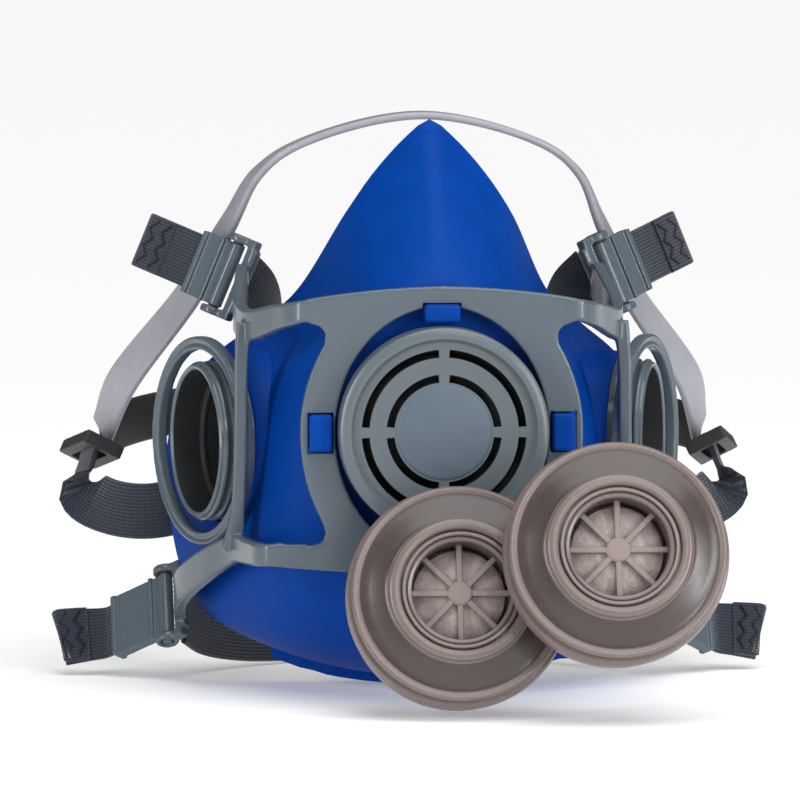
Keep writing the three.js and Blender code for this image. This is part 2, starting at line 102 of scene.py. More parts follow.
def material(name, colour, roughness, spread=0.08, mottle=300, grain=2600, bump=0.12, **sockets):
    """A principled finish whose colour and roughness drift a little and whose surface has a fine grain."""
    made = bpy.data.materials.new(name)
    made.use_nodes = True
    nodes, links = made.node_tree.nodes, made.node_tree.links
    shader = nodes["Principled BSDF"]
    for key, value in sockets.items():
        shader.inputs[key.replace("_", " ")].default_value = value
    place = nodes.new("ShaderNodeTexCoord")
    drift = nodes.new("ShaderNodeTexNoise")
    drift.inputs["Scale"].default_value = mottle
    drift.inputs["Detail"].default_value = 5
    ramp = nodes.new("ShaderNodeValToRGB")
    low, high = ramp.color_ramp.elements
    low.position, high.position = 0.3, 0.7
    low.color = [c * (1 - spread) for c in colour[:3]] + [1]
    high.color = [c * (1 + spread) for c in colour[:3]] + [1]
    rough = nodes.new("ShaderNodeMapRange")
    rough.inputs["To Min"].default_value = max(0.05, roughness - 0.07)
    rough.inputs["To Max"].default_value = min(1.0, roughness + 0.07)
    fine = nodes.new("ShaderNodeTexNoise")
    fine.inputs["Scale"].default_value = grain
    fine.inputs["Detail"].default_value = 3
    relief = nodes.new("ShaderNodeBump")
    relief.inputs["Strength"].default_value = bump
    relief.inputs["Distance"].default_value = RELIEF_DEPTH
    links.new(place.outputs["Object"], drift.inputs["Vector"])
    links.new(place.outputs["Object"], fine.inputs["Vector"])
    links.new(drift.outputs["Fac"], ramp.inputs["Fac"])
    links.new(drift.outputs["Fac"], rough.inputs["Value"])
    links.new(ramp.outputs["Color"], shader.inputs["Base Color"])
    links.new(rough.outputs["Result"], shader.inputs["Roughness"])
    links.new(fine.outputs["Fac"], relief.inputs["Height"])
    links.new(relief.outputs["Normal"], shader.inputs["Normal"])
    return made


def webbing_material(name, colour):
    """Ribbed elastic webbing: fine cords along the strap and picks across it, from the strap's own map."""
    made = bpy.data.materials.new(name)
    made.use_nodes = True
    nodes, links = made.node_tree.nodes, made.node_tree.links
    shader = nodes["Principled BSDF"]
    shader.inputs["Roughness"].default_value = 0.85
    shader.inputs["Sheen Weight"].default_value = 0.35
    shader.inputs["Sheen Roughness"].default_value = 0.5
    place = nodes.new("ShaderNodeTexCoord")
    waves = []
    for direction, period in (("Y", 0.9), ("X", 0.55)):
        wave = nodes.new("ShaderNodeTexWave")
        wave.bands_direction = direction
        wave.inputs["Scale"].default_value = 2 * math.pi / (20 * period)
        wave.inputs["Distortion"].default_value = 0.6
        wave.inputs["Detail"].default_value = 1
        links.new(place.outputs["UV"], wave.inputs["Vector"])
        waves.append(wave)
    weave = nodes.new("ShaderNodeMath")
    weave.operation = "MULTIPLY"
    links.new(waves[0].outputs["Fac"], weave.inputs[0])
    links.new(waves[1].outputs["Fac"], weave.inputs[1])
    ramp = nodes.new("ShaderNodeValToRGB")
    low, high = ramp.color_ramp.elements
    low.position, high.position = 0.0, 0.8
    low.color = [c * 0.45 for c in colour[:3]] + [1]
    high.color = [c * 1.35 for c in colour[:3]] + [1]
    relief = nodes.new("ShaderNodeBump")
    relief.inputs["Strength"].default_value = 0.7
    relief.inputs["Distance"].default_value = RELIEF_DEPTH
    links.new(weave.outputs["Value"], ramp.inputs["Fac"])
    links.new(weave.outputs["Value"], relief.inputs["Height"])
    links.new(ramp.outputs["Color"], shader.inputs["Base Color"])
    links.new(relief.outputs["Normal"], shader.inputs["Normal"])
    return made


SILICONE = material("silicone", linear(0, 60, 146), 0.5, spread=0.08, mottle=120, bump=0.08,
                    Specular_IOR_Level=0.07)
FRAME_GREY = material("frame_plastic", linear(84, 95, 104), 0.22, spread=0.02, mottle=90, bump=0.02)
VALVE_GREY = material("valve_plastic", linear(92, 102, 108), 0.3, spread=0.02, mottle=90, bump=0.03)
VALVE_DISC = material("valve_disc", linear(84, 98, 111), 0.5, spread=0.03, bump=0.10)
DARK_SEAT = material("dark_seat", linear(30, 32, 36), 0.6)
DARK_RUBBER = material("dark_rubber", linear(24, 25, 27), 0.7)
FLAP_DARK = material("flap_dark", linear(36, 38, 42), 0.5)
WEBBING = webbing_material("webbing", linear(26, 40, 59))
THREAD = material("thread", linear(8, 12, 24), 0.8, bump=0.3)
CLIP_BLACK = material("clip_plastic", linear(30, 32, 36), 0.45)
CRADLE_GREY = material("cradle_plastic", linear(156, 157, 166), 0.34, spread=0.03)
# painted shade: a darkened copy of the cradle plastic, given to the rear band and the strap slots
CRADLE_PAINTED_SHADE = material("cradle_painted_shade", linear(40, 39, 42), 0.5, spread=0.05)
TAUPE = material("filter_plastic", linear(116, 103, 100), 0.26, spread=0.03, mottle=120, bump=0.03)
# a darker copy of the filter plastic: darker on the sloping face ring, painted shade in the recess and the
# side groove
TAUPE_DARKER_AND_PAINTED_SHADE = material("filter_darker_and_painted_shade", linear(70, 61, 59), 0.27, spread=0.03, mottle=120, bump=0.03)
MEDIA = material("filter_media", linear(178, 164, 161), 0.95, spread=0.16, mottle=700, grain=1500, bump=0.7)
MEDIA_SMOOTH = material("filter_grille", linear(136, 122, 119), 0.4, spread=0.03)

# ---- mesh helpers ----------------------------------------------------------------------------
def add_object(name, mesh, materials):
    obj = bpy.data.objects.new(name, mesh)
    bpy.context.scene.collection.objects.link(obj)
    for one in materials:
        mesh.materials.append(one)
    return obj


def shade(obj, angle=35):
    obj.data.shade_smooth()
    obj.data.set_sharp_from_angle(angle=math.radians(angle))


def build(name, points, faces, look, uvs=None):
    """An object from mask-millimetre points. uvs gives one pair for each point."""
    mesh = bpy.data.meshes.new(name)
    mesh.from_pydata([TO_FRAME @ Vector(p) for p in points], [], faces)
    if uvs:
        layer = mesh.uv_layers.new(name="strap")
        for loop in mesh.loops:
            layer.data[loop.index].uv = uvs[loop.vertex_index]
    obj = add_object(name, mesh, [look])
    tidy = bmesh.new()
    tidy.from_mesh(mesh)
    bmesh.ops.remove_doubles(tidy, verts=tidy.verts, dist=1e-7)
    bmesh.ops.recalc_face_normals(tidy, faces=tidy.faces)
    tidy.to_mesh(mesh)
    tidy.free()
    shade(obj)
    return obj


def loft(sections, closed=False):
    """Points and faces of a skin through equal rings of points, capped unless closed."""
    corners, rows = len(sections[0]), len(sections)
    faces = []
    for i in range(rows if closed else rows - 1):
        j = (i + 1) % rows
        for k in range(corners):
            m = (k + 1) % corners
            faces.append((i * corners + k, i * corners + m, j * corners + m, j * corners + k))
    if not closed:
        faces.append(tuple(reversed(range(corners))))
        faces.append(tuple(range((rows - 1) * corners, rows * corners)))
    return [p for section in sections for p in section], faces


def frame_at(origin, out, up=(0, 0, 1)):
    """A frame at origin whose Z points along out and whose Y is as near up as it can be."""
    z = Vector(out).normalized()
    x = Vector(up).cross(z).normalized()
    return basis(origin, x, z.cross(x), z)


def basis(origin, x, y, z):
    made = Matrix((x, y, z)).transposed().to_4x4()
    made.translation = Vector(origin)
    return made


def lathe_data(profile, place, sides=96):
    """A surface of revolution about the frame's Z, from [radius, height] corners, as points and faces."""
    on_axis = profile[0][0] == 0
    sections = []
    for i in range(sides):
        a = 2 * math.pi * i / sides
        sections.append([place @ Vector((r * math.cos(a), r * math.sin(a), h)) for r, h in profile])
    points, faces = loft(sections, closed=True)
    if on_axis:
        corners = len(profile)
        faces = [f for f in faces if not (f[0] % corners == corners - 1 and f[1] % corners == 0)]
    return points, faces


def lathe(name, profile, place, look, sides=96):
    return build(name, *lathe_data(profile, place, sides), look)


def box_data(size, place, centre=(0, 0, 0)):
    """A box with its own frame, as points and faces."""
    half = [s / 2 for s in size]
    rings = [[place @ Vector((centre[0] + a * half[0], centre[1] + b * half[1], centre[2] + c * half[2]))
              for a, b in ((-1, -1), (1, -1), (1, 1), (-1, 1))] for c in (-1, 1)]
    return loft(rings)


def join(*parts):
    """Several point and face lists as one."""
    points, faces = [], []
    for more_points, more_faces in parts:
        start = len(points)
        points += list(more_points)
        faces += [tuple(start + i for i in f) for f in more_faces]
    return points, faces


def bevel(obj, width, segments=2, angle=35):
    mod = obj.modifiers.new("bevel", "BEVEL")
    mod.width = width * MM
    mod.segments = segments
    mod.limit_method = "ANGLE"
    mod.angle_limit = math.radians(angle)
    mod.harden_normals = False
    return obj


def bake(obj):
    """Applies the object's modifiers to its mesh."""
    graph = bpy.context.evaluated_depsgraph_get()
    mesh = bpy.data.meshes.new_from_object(obj.evaluated_get(graph), depsgraph=graph)
    obj.modifiers.clear()
    obj.data = mesh
    return obj


def cut(obj, data):
    """Takes a closed solid, given as points and faces, out of the object."""
    cutter = build(obj.name + "_cutter", *data, obj.data.materials[0])
    mod = obj.modifiers.new("cut", "BOOLEAN")
    mod.operation = "DIFFERENCE"
    mod.solver = "EXACT"
    mod.object = cutter
    bake(obj)
    bpy.data.objects.remove(cutter)
    return obj


def mould(name, data, look, voxel, passes):
    """One moulded body from overlapping closed solids, with softly rounded edges and inner corners."""
    obj = build(name, *data, look)
    remesh = obj.modifiers.new("remesh", "REMESH")
    remesh.mode = "VOXEL"
    remesh.voxel_size = voxel * MM
    soften = obj.modifiers.new("soften", "SMOOTH")
    soften.factor = 0.5
    soften.iterations = passes
    bake(obj)
    shade(obj, 60)
    return obj


def settle(obj, body, slot, *nodes):
    """Rides the piece on its body and hides the nodes it stands for; slot is not used."""
    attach(obj, body)
    if nodes:
        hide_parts(*nodes)
    return obj


# ---- strips ----------------------------------------------------------------------------------
def smooth_path(points, steps, power=0.5):
    """A Catmull-Rom curve through the points, with steps pieces between neighbours."""
    points = [Vector(p) for p in points]
    ends = [2 * points[0] - points[1]] + points + [2 * points[-1] - points[-2]]
    path = []
    for a, b, c, d in zip(ends, ends[1:], ends[2:], ends[3:]):
        t0, t1 = 0, (b - a).length ** power
        t2 = t1 + (c - b).length ** power
        t3 = t2 + (d - c).length ** power
        for k in range(steps):
            t = t1 + (t2 - t1) * k / steps
            ab = ((t1 - t) * a + (t - t0) * b) / (t1 - t0)
            bc = ((t2 - t) * b + (t - t1) * c) / (t2 - t1)
            cd = ((t3 - t) * c + (t - t2) * d) / (t3 - t2)
            abc = ((t2 - t) * ab + (t - t0) * bc) / (t2 - t0)
            bcd = ((t3 - t) * bc + (t - t1) * cd) / (t3 - t1)
            path.append(((t2 - t) * abc + (t - t1) * bcd) / (t2 - t1))
    return path + [points[-1]]


def rounded_section(width, thickness, radius):
    """Corners of a flat section with rounded edges, as (across, through) pairs."""
    half, deep = width / 2 - radius, thickness / 2 - radius
    corners = []
    for cx, cy, start in ((half, deep, 0), (-half, deep, 90), (-half, -deep, 180), (half, -deep, 270)):
        for k in range(4):
            a = math.radians(start + 30 * k)
            corners.append((cx + radius * math.cos(a), cy + radius * math.sin(a)))
    return corners


def strip_data(stations, thickness, steps=8, radius=None):
    """A flat strip along stations of (at, across, width), with its own map: along and across, in mm."""
    path = smooth_path([s[0] for s in stations], steps)
    turns = smooth_path([Vector(s[1]).normalized() for s in stations], steps, power=0)
    radius = radius or thickness * 0.42
    sections, uvs, along = [], [], 0
    for i, centre in enumerate(path):
        before, after = path[max(i - 1, 0)], path[min(i + 1, len(path) - 1)]
        along += (centre - before).length if i else 0
        tangent = (after - before).normalized()
        across = (turns[i] - tangent * turns[i].dot(tangent)).normalized()
        through = tangent.cross(across)
        k = min(i // steps, len(stations) - 2)
        width = stations[k][2] + (stations[k + 1][2] - stations[k][2]) * (i / steps - k)
        ring = rounded_section(width, thickness, radius)
        sections.append([centre + across * a + through * b for a, b in ring])
        uvs += [(along, a + (thickness if b < 0 else 0)) for a, b in ring]
    points, faces = loft(sections)
    return points, faces, uvs


def station(side, at, across, width=STRAP_WIDTH):
    return ((side * at[0], at[1], at[2]), (side * across[0], across[1], across[2]), width)


def outward(side, turn):
    a = math.radians(turn)
    return Vector((side * math.sin(a), -math.cos(a), 0))


def port_place(side):
    x, d, z = PORT["at"]
    return frame_at((side * x, d, z), outward(side, PORT["turn"]))


# ---- facepiece -------------------------------------------------------------------------------
RIM = [
    (0, 43, 146.1), (5, 43.3, 142.6), (13.7, 44, 133.2), (21.1, 46, 122.4), (33.1, 66, 100.3),
    (43, 75, 91.5), (51, 81.5, 85), (58.5, 85.5, 76.5), (63, 87, 66.5), (64.8, 86, 54.7),
    (64, 83.5, 43.4), (61.2, 79, 28.5), (55.8, 75, 18.5), (47, 72, 12.5), (36, 71, 8.6),
    (24, 71.5, 6.3), (12, 72.3, 5), (0, 72.7, 4.6),
]
SKIN_FRONT, SKIN = 12.5, 2.8
FRONT_HALF_WIDTH, FRONT_HALF_HEIGHT, FRONT_HOLE = 31, 36, 22.5
LUGS = [(5.8, 9.4, 30.6, VALVE_Z - 0.4), (5.8, 9.4, -30.6, VALVE_Z - 0.4),
        (9, 4.6, 0, 98.7), (9, 4.6, 0, 38.2)]     # width, height, X and Z


def rim_points(around):
    """Points evenly spaced round the rim, from the nose down the right side and back up the left."""
    mirrored = [(-x, d, z) for x, d, z in reversed(RIM[1:-1])]
    loop = [mirrored[-1]] + list(RIM) + mirrored + [RIM[0], RIM[1]]
    dense = smooth_path(loop, 24)[24:-24]
    lengths = [0]
    for a, b in zip(dense, dense[1:]):
        lengths.append(lengths[-1] + (b - a).length)
    picked, k = [], 0
    for i in range(around):
        want = lengths[-1] * i / around
        while lengths[k + 1] < want:
            k += 1
        share = (want - lengths[k]) / (lengths[k + 1] - lengths[k])
        picked.append(dense[k].lerp(dense[k + 1], share))
    return picked


def bezier(a, b, c, d, steps):
    made = []
    for k in range(steps + 1):
        t = k / steps
        made.append(a * (1 - t) ** 3 + b * 3 * t * (1 - t) ** 2 + c * 3 * t * t * (1 - t) + d * t ** 3)
    return made


def wall_row(rim, steps):
    """One line of the outer wall, from the valve hole over the front's edge to the rim."""
    angle = math.atan2(rim.x, rim.z - VALVE_Z)
    s, c = math.sin(angle), math.cos(angle)
    reach = 1 / math.hypot(s / FRONT_HALF_WIDTH, c / FRONT_HALF_HEIGHT)
    front = Vector((reach * s, SKIN_FRONT, VALVE_Z + reach * c))
    span = math.hypot(rim.x - front.x, rim.z - front.z)
    away = Vector((rim.x - front.x, 0, rim.z - front.z)) / span
    top, chin = max(0, c) ** 2, max(0, -c) ** 2
    cheek = 1 - top - chin
    leave = front + away * span * (0.33 * top + 0.2 * cheek + 0.8 * chin)
    leave.y += 10 * top + 7.5 * cheek + 7.5 * chin
    arrive = rim + away * span * (-0.33 * top - 0.5 * cheek + 0.25 * chin)
    arrive.y -= 10 * top + 28 * cheek + 27 * chin
    hole = Vector((FRONT_HOLE * s, SKIN_FRONT, VALVE_Z + FRONT_HOLE * c))
    return [hole, hole.lerp(front, 0.5)] + bezier(front, leave, arrive, rim, steps)


def facepiece_sections(around=132, steps=22):
    outer = [wall_row(r, steps) for r in rim_points(around)]
    sections = []
    for i, row in enumerate(outer):
        before, after = outer[i - 1], outer[(i + 1) % around]
        inner = []
        for k in range(1, len(row) - 1):
            along = row[k + 1] - row[k - 1]
            inwards = along.cross(after[k] - before[k]).normalized()
            if k <= 2:
                inwards = Vector((0, 1, 0))
            elif inwards.y < 0:
                inwards *= -1
            inner.append(row[k] + inwards * SKIN)
        rim = row[-1]
        centre = Vector((-rim.x, 0, VALVE_Z - rim.z)).normalized()
        seal = 5 if rim.z > 120 else 9
        tip = rim + centre * seal + Vector((0, -1, 0))
        lip = tip + Vector((0, -1.8, 0))
        corner = rim + centre * SKIN + Vector((0, -SKIN, 0))
        sections.append(row + [tip, lip, corner] + inner[::-1] + [row[0] + Vector((0, SKIN, 0))])
    return sections


def add_facepiece():
    skin = build("facepiece_skin", *loft(facepiece_sections(), closed=True), SILICONE)
    for side in SIDES.values():
        cut(skin, lathe_data([(0, -30), (PORT["hole"], -30), (PORT["hole"], 8), (0, 8)], port_place(side)))
    shade(skin, 50)
    bevel(skin, 0.8, 3, 50)
    settle(skin, "mask", "silicone", "facepiece")
    for name, side in SIDES.items():
        collar = [(20.7, -25), (24.5, -25), (23.4, -19), (22.7, -12), (22.3, -9.6), (21.8, -9), (20.7, -9)]
        boss = lathe(f"facepiece_{name}_collar", collar, port_place(side), SILICONE)
        settle(boss, "mask", "silicone")
    for number, (width, height, x, z) in enumerate(LUGS):
        place = Matrix.Translation((x, 9.75, z))
        lug = build(f"facepiece_lug_{number}", *box_data((width, 9.5, height), place), SILICONE)
        settle(bevel(lug, 0.9, 4), "mask", "silicone")


# ---- outer frame -----------------------------------------------------------------------------
PLATE_FRONT, PLATE_THICKNESS = 7.6, 3.8
FRAME_VOXEL = 0.36
OVAL_Z, OVAL_HALF_WIDTH, OVAL_HALF_HEIGHT = 68.7, 26.9, 31.7


def quadratic(a, b, c, steps=10):
    a, b, c = Vector(a), Vector(b), Vector(c)
    return [a * (1 - t) ** 2 + b * 2 * t * (1 - t) + c * t * t for t in (k / steps for k in range(steps + 1))]


def plate_outline():
    """The right half of the plate's front outline, from the top middle to the bottom middle."""
    half = quadratic((0, 105.5), (18, 105.1), (34, 102.3))
    half += quadratic((34, 96.6), (28, 96), (29.5, 91))
    waist = [Vector(p) for p in ((29.5, 91), (34, 83), (35.6, 76), (35.6, VALVE_Z))]
    half += bezier(*waist, 12)[1:]
    waist = [Vector(p) for p in ((35.6, VALVE_Z), (35.6, 61), (34, 53), (29.5, 45.5))]
    half += bezier(*waist, 12)[1:]
    half += quadratic((29.5, 45.5), (28, 40.5), (33, 40.3))[1:]
    half += [Vector((42.6, 40.9)), Vector((42.6, 35.3))]
    return half + quadratic((42.6, 35.3), (28, 33.6), (0, 32.6))[1:]


def plate_data():
    half = plate_outline()
    outline = half + [Vector((-p.x, p.y)) for p in reversed(half[1:-1])]
    oval = []
    for p in outline:
        a = math.atan2(p.y - OVAL_Z, p.x)
        oval.append(Vector((OVAL_HALF_WIDTH * math.cos(a), OVAL_Z + OVAL_HALF_HEIGHT * math.sin(a))))
    back = PLATE_FRONT + PLATE_THICKNESS
    sections = [[Vector((p.x, PLATE_FRONT, p.y)), Vector((p.x, back, p.y)), Vector((q.x, back, q.y)),
                 Vector((q.x, PLATE_FRONT, q.y))] for p, q in zip(outline, oval)]
    return loft(sections, closed=True)


ARMS = [
    [((31, 9.1, 99.4), 5.4), ((34.6, 9.1, 99.3), 5.5), ((37.2, 11, 98.6), 5.8), ((40.5, 18.6, 97.3), 6.6),
     ((46.6, 33.6, 94.4), 8.2), ((48.2, 48, 96), 9), ((47.2, 60, 99.5), 9.5), ((45.8, 70.6, 103.4), 10)],
    [((40, 9.1, 38.1), 5.5), ((43.4, 9.1, 38.1), 5.6), ((45.4, 11.4, 38), 5.8), ((47.2, 20, 37.8), 6.2),
     ((50.6, 35, 37.3), 7), ((57.4, 50, 31.5), 8.4), ((62, 65, 25), 9), ((61.7, 76, 20.3), 10.5)],
]
POST = [((47.6, 33.4, 95), 4.6), ((48.6, 32.9, 88), 3.4), ((49, 32.6, 66), 3.2), ((49.6, 33.4, 48), 3.4),
        ((51, 34.8, 37), 5.4)]


def bar_place(side, bar):
    """A buckle's frame: X towards the strap's tail, Z along the bar."""
    up = Vector((side * bar["up"][0], bar["up"][1], bar["up"][2])).normalized()
    out = Vector((side * bar["out"][0], bar["out"][1], bar["out"][2]))
    out = (out - up * out.dot(up)).normalized()
    x, d, z = bar["at"]
    return basis((side * x, d, z), out, up.cross(out), up)


def tube_profile(inner, outer, low, high):
    return [(inner, low), (outer, low), (outer, high), (inner, high)]


def fork_data(place):
    """The fork at an arm's end, with the two eyes that hold a buckle's stubs."""
    parts = [box_data((2.4, 3, 21.8), place, (-5, 0, 0)), box_data((3, 2.4, 17), place, (-5.6, 0, 0))]
    for z in (EYE_AT, -EYE_AT):
        parts.append(lathe_data(tube_profile(1.75, 3.1, z - 1, z + 1), place, 32))
        parts.append(box_data((3.6, 3, 2), place, (-3.9, 0, z)))
    return join(*parts)


def add_outer_frame():
    parts = [plate_data()]
    for side in SIDES.values():
        for arm in ARMS:
            stations = [station(side, at, (0, 0, 1), width) for at, width in arm]
            parts.append(strip_data(stations, 3, 8, 0.4)[:2])
        parts.append(strip_data([station(side, at, (1, 0, 0), width) for at, width in POST], 3, 8, 0.4)[:2])
        x, d, z = RING["at"]
        place = frame_at((side * x, d, z), outward(side, RING["turn"]))
        inner, outer, back = RING["inner"], RING["outer"], -RING["thickness"]
        groove = [(inner, back), (outer, back), (outer, 0), (outer - 0.9, 0.35), (outer - 1.4, -0.35),
                  (inner + 1.2, -0.35), (inner + 0.8, 0.35), (inner, 0)]
        parts.append(lathe_data(groove, place))
        for bar in (UPPER_BAR, LOWER_BAR):
            parts.append(fork_data(bar_place(side, bar)))
    moulding = build("outer_frame_moulding", *join(*parts), FRAME_GREY)
    remesh = moulding.modifiers.new("remesh", "REMESH")
    remesh.mode = "VOXEL"
    remesh.voxel_size = FRAME_VOXEL * MM
    bake(moulding)
    for width, height, x, z in LUGS:
        cut(moulding, box_data((width + 0.6, 20, height + 0.6), Matrix.Translation((x, 10, z))))
    soften = moulding.modifiers.new("soften", "SMOOTH")
    soften.factor = 0.5
    soften.iterations = 9
    bake(moulding)
    shade(moulding, 60)
    settle(moulding, "mask", "frame_plastic", "outer_frame")


# ---- exhalation valve ------------------------------------------------------------------------
VALVE_PLACE = frame_at((0, 0, VALVE_Z), (0, -1, 0))


def arc_data(inner, outer, start, end, low, high, place, steps=24):
    """A curved block between two radii and two angles."""
    sections = []
    for k in range(steps + 1):
        a = start + (end - start) * k / steps
        spoke = Vector((math.cos(a), math.sin(a), 0))
        lift = Vector((0, 0, 1))
        sections.append([place @ (spoke * r + lift * h)
                         for r, h in ((inner, low), (outer, low), (outer, high), (inner, high))])
    return loft(sections)


def spokes_data(count, start, length, width, low, high, place):
    parts = []
    for k in range(count):
        turn = place @ Matrix.Rotation(2 * math.pi * k / count, 4, "Z")
        middle = ((start + length) / 2, 0, (low + high) / 2)
        parts.append(box_data((length - start, width, high - low), turn, middle))
    return join(*parts)


def add_valve():
    seat = [(18, -17.6), (25.3, -17.6), (25.3, -15.6), (22.2, -15.6), (22.2, -12.2), (25.6, -12.2),
            (25.6, -9.2), (20, -9.2), (20, -13.2), (18, -13.2)]
    body = build("exhalation_seat_ring", *join(lathe_data(seat, VALVE_PLACE),
                 spokes_data(4, 2, 18.6, 2, -15.4, -13.6, VALVE_PLACE)), DARK_SEAT)
    settle(bevel(body, 0.2), "mask", "frame_plastic", "exhalation_valve_seat")
    flap = [(0, -12.8), (19.2, -12.8), (19.2, -12.4), (18.6, -12.05), (0, -12)]
    settle(lathe("exhalation_flap_disc", flap, VALVE_PLACE, FLAP_DARK), "exhalation_flap_body", "flap_rubber",
           "exhalation_flap")
    cup = [(0, -1.8), (12.2, -1.8), (14.6, -1.8), (18.5, -1.8), (21, -1.8), (22.6, -1.7), (23.5, -0.1),
           (24.2, 0), (25.4, -0.15), (26.2, -0.7), (26.4, -1.6), (26.4, -8.8), (24.7, -8.8), (24.7, -3.9),
           (0, -3.9)]
    cover = lathe("exhalation_cover_grille", cup, VALVE_PLACE, VALVE_GREY, 128)
    for inner, outer in ((18.75, 20.75), (12.5, 14.5)):
        margin = 1.3 / ((inner + outer) / 2)
        for quarter in range(4):
            start = quarter * math.pi / 2 + margin
            end = (quarter + 1) * math.pi / 2 - margin
            cut(cover, arc_data(inner, outer, start, end, -6, 2, VALVE_PLACE))
    shade(cover, 35)
    bevel(cover, 0.22, 3, 30)
    settle(cover, "valve_cover", "valve_plastic", "exhalation_valve_cover")
    disc = [(0, -1.35), (11.3, -1.35), (11.8, -1.5), (12, -1.75), (12, -2.2), (0, -2.2)]
    settle(lathe("exhalation_cover_disc", disc, VALVE_PLACE, VALVE_DISC), "valve_cover", "valve_plastic")


# ---- inhalation ports ------------------------------------------------------------------------
def add_port(side, name):
    place = port_place(side)
    ridges = [(18.2, -0.5), (18.6, -0.1), (19.2, 0), (19.6, -0.4), (19.7, -1), (20.3, -1.4),
              (20.4, -1.9), (20.2, -2.3), (19.6, -2.7), (19.6, -3.4), (20.4, -3.9), (20.5, -4.4),
              (20.3, -4.9), (19.7, -5.3), (19.7, -6), (20.3, -6.5), (20.5, -7), (20.5, -27),
              (15.6, -27), (15.6, -9), (18.2, -9)]
    body = lathe(f"{name}_port_sleeve", ridges, place, FRAME_GREY, 128)
    # the faces inside the sleeve's bore take the dark seat finish as painted shade
    body.data.materials.append(DARK_SEAT)
    for face in body.data.polygons:
        local = place.inverted() @ (TO_FRAME.inverted() @ face.center)
        if math.hypot(local.x, local.y) < 18.3 and local.z < -0.6:
            face.material_index = 1
    settle(body, "mask", "frame_plastic", f"{name}_port_body")
    gasket = [(15.8, -8.7), (17.9, -8.7), (17.9, -7.9), (17.2, -7.2), (16.4, -7.2), (15.8, -7.9)]
    seal = lathe(f"{name}_port_seal", gasket, place, DARK_RUBBER)
    settle(seal, "mask", "dark_rubber", f"{name}_port_gasket")
    web = join(lathe_data(tube_profile(13.4, 15.3, -19, -16.5), place),
               spokes_data(4, 1, 14, 1.8, -18.4, -17, place),
               lathe_data([(0, -18.6), (3, -18.6), (3, -16.8), (0, -16.8)], place, 32))
    seat = build(f"{name}_inhalation_web", *web, DARK_SEAT)
    settle(bevel(seat, 0.25), "mask", "frame_plastic", f"{name}_inhalation_seat")
    flap = [(0, -20.2), (14.6, -20.2), (14.6, -19.8), (14, -19.45), (0, -19.4)]
    settle(lathe(f"{name}_inhalation_disc", flap, place, FLAP_DARK), f"{name}_inhalation_flap_body",
           "flap_rubber", f"{name}_inhalation_flap")
    clamp = lathe(f"{name}_port_nut", tube_profile(20.8, 22.8, -25.6, -22.9), place, FRAME_GREY)
    settle(bevel(clamp, 0.3), "mask", "frame_plastic", f"{name}_port_clamp_ring")


# ---- buckles and strap tails -----------------------------------------------------------------
def zigzag_data(points):
    """A thread laid along the points, as one thin tube for each stitch."""
    parts = []
    for a, b in zip(points, points[1:]):
        way = (b - a).normalized()
        side = way.cross(Vector((0.3, 0.9, 0.2))).normalized()
        lift = way.cross(side)
        ring = [(math.cos(math.pi * k / 3), math.sin(math.pi * k / 3)) for k in range(6)]
        over = way * THREAD_RADIUS
        parts.append(loft([[p + side * THREAD_RADIUS * c + lift * THREAD_RADIUS * s for c, s in ring]
                           for p in (a - over, b + over)]))
    return join(*parts)


def add_buckle(side, bar, name):
    """A clasp whose plain cover hides the strap's two slots, which open at the back."""
    place = bar_place(side, bar)
    reach, width = bar["reach"], 2 * BAR_HALF
    front = -side
    parts = [lathe_data([(0, -BAR_HALF), (2, -BAR_HALF), (2, BAR_HALF), (0, BAR_HALF)], place, 40),
             lathe_data([(0, -PIN_HALF), (1.35, -PIN_HALF), (1.35, PIN_HALF), (0, PIN_HALF)], place, 32),
             box_data((reach, 1.1, width), place, (reach / 2, front * 0.85, 0))]
    solid_end = reach - 7.6
    parts.append(box_data((solid_end, 2.4, width), place, (solid_end / 2, 0, 0)))
    for z in (BAR_HALF - 0.65, 0.65 - BAR_HALF):
        parts.append(box_data((reach, 2.8, 1.3), place, (reach / 2, 0, z)))
    parts.append(box_data((1.8, 2.6, width - 0.4), place, (reach - 4.75, 0, 0)))
    parts.append(box_data((1.5, 4.4, width - 0.1), place, (reach - 0.75, 0, 0)))
    parts.append(box_data((1.1, 1.6, width + 0.2), place, (3.6, front * 1.5, 0)))
    body = mould(f"{name}_clasp_plate", join(*parts), FRAME_GREY, 0.22, 3)
    settle(body, f"{name}_clasp", "frame_plastic", f"{name}_buckle")
    start = reach + 0.3

    def bend(t, share, lift=0.0):
        aside = side * (-share * bar["aside"] - lift)
        at = place @ Vector((start + t * bar["run"], aside, -share * bar["down"]))
        across = place.to_3x3() @ Vector((0, -side * share * bar["twist"], 1))
        return at, across, STRAP_WIDTH

    lay = [bend(0, 0), bend(0.25, 0.02), bend(0.6, 0.45, 0.3), bend(1, 1)]
    hem = [bend(1.0, 1, 0.5), bend(0.97, 0.96, 1.35), bend(0.75, 0.66, 1.5), bend(0.52, 0.35, 1.3)]
    layers = [strip_data(lay, STRAP_THICKNESS), strip_data(hem, 1.2)]
    points, faces = join(*(layer[:2] for layer in layers))
    tail = build(f"{name}_webbing_end", points, faces, WEBBING, layers[0][2] + layers[1][2])
    settle(tail, f"{name}_clasp", "webbing", f"{name}_strap_tail")
    threads = []
    for column in (0.62, 0.85):
        turns = []
        for k in range(6):
            t = column + (0.055 if k % 2 else -0.055)
            share = (t - 0.15) / 0.85 if bar["aside"] else 1
            at, across, _ = bend(t, share, 2.05)
            turns.append(at + across.normalized() * (5.8 - 2.3 * k))
        threads.append(zigzag_data(turns))
    settle(build(f"{name}_stitching", *join(*threads), THREAD), f"{name}_clasp", "webbing")


